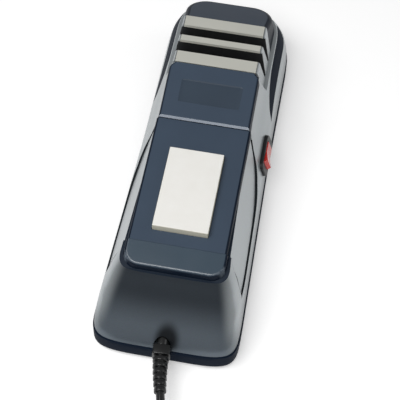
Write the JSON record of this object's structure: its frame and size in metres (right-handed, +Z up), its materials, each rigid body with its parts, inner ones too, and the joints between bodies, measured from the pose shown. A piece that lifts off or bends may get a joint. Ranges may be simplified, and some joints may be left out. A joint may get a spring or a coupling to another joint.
{
  "type": "electric knife sharpener",
  "caption": "Electric knife sharpener: long low body with a ceramic whetstone on top, angled knife slots over spring-loaded abrasive discs at the rear, a rocker switch and a mains cord.",
  "frame": {"origin": "centre of the footprint at table level, cord left out", "axes": "+Z up, +Y towards the knife slots, +X towards the switch side"},
  "size_m": [0.1818, 0.506, 0.088],
  "materials": {
    "silver_plastic": "silver metallic lacquer",
    "navy_plastic": "fine texture",
    "blue_plastic": "fine texture",
    "ceramic": "fine ground",
    "grey_guide": "metallic grey",
    "black_plastic": "satin",
    "red_plastic": "gloss",
    "steel": "turned",
    "iron": "stamped sheets",
    "copper": "enamelled copper wire",
    "bronze": "sintered",
    "abrasive": "coarse grit",
    "rubber": "matt"
  },
  "bodies": {
    "body": {"upper_housing": "silver_plastic", "base_tray": "navy_plastic", "side_inlay_left": "navy_plastic", "side_inlay_right": "navy_plastic", "front_cap": "blue_plastic", "stone_holder": "blue_plastic", "head_cover": "blue_plastic", "rear_cover": "blue_plastic", "head_cheek_left": "silver_plastic", "head_cheek_right": "silver_plastic", "slot_lining_front": "black_plastic", "slot_lining_rear": "black_plastic", "ceramic_plate": "ceramic", "front_guide": "grey_guide", "middle_guide": "grey_guide", "rear_guide": "grey_guide", "grinding_chamber": "black_plastic", "switch_body": "black_plastic", "terminal_block": "black_plastic", "cord_tie": "black_plastic", "front_bracket": "steel", "rear_bracket": "steel", "motor_bolt_upper": "steel", "motor_bolt_lower": "steel", "plug_pin_left": "steel", "plug_pin_right": "steel", "motor_stack": "iron", "motor_coil_upper": "copper", "motor_coil_lower": "copper", "front_bush": "bronze", "rear_bush": "bronze", "rear_shaft_bush": "bronze", "strain_relief": "rubber", "inner_lead": "rubber", "cord_lead": "rubber", "cord_coil": "rubber", "cord_tail": "rubber", "plug_body": "rubber", "foot_front_left": "rubber", "base_screw_front_left": "steel", "foot_front_right": "rubber", "base_screw_front_right": "steel", "foot_rear_left": "rubber", "base_screw_rear_left": "steel", "foot_rear_right": "rubber", "base_screw_rear_right": "steel"},
    "rotor": {"drive_shaft": "steel", "rotor_core": "iron", "cooling_fan": "black_plastic", "shaft_collar_1": "steel", "shaft_collar_2": "steel", "disc_clip_1": "steel", "disc_clip_2": "steel", "disc_spring_1": "steel", "disc_spring_2": "steel"},
    "front_disc": {"disc_holder_1": "black_plastic", "abrasive_ring_1": "abrasive"},
    "rear_disc": {"disc_holder_2": "black_plastic", "abrasive_ring_2": "abrasive"},
    "rocker": {"switch_rocker": "red_plastic"}
  },
  "joints": [
    {"name": "shaft_turn", "type": "hinge", "parent": "body", "child": "rotor", "pos_m": [0, 0.0325, 0.042], "axis": [0, 1, 0], "continuous": true},
    {"name": "front_disc_slide", "type": "slide", "parent": "rotor", "child": "front_disc", "axis": [0, 1, 0], "range_m": [0, 0.0015], "stiffness_N_per_m": 1500, "springref_m": -0.003, "deforming": ["disc_spring_1"]},
    {"name": "rear_disc_slide", "type": "slide", "parent": "rotor", "child": "rear_disc", "axis": [0, 1, 0], "range_m": [0, 0.0015], "stiffness_N_per_m": 1500, "springref_m": -0.003, "deforming": ["disc_spring_2"]},
    {"name": "switch_rock", "type": "hinge", "parent": "body", "child": "rocker", "pos_m": [0.04965, 0.0142, 0.03719], "axis": [-0.309, 0, 0.9511], "range_deg": [-13, 0]}
  ]
}
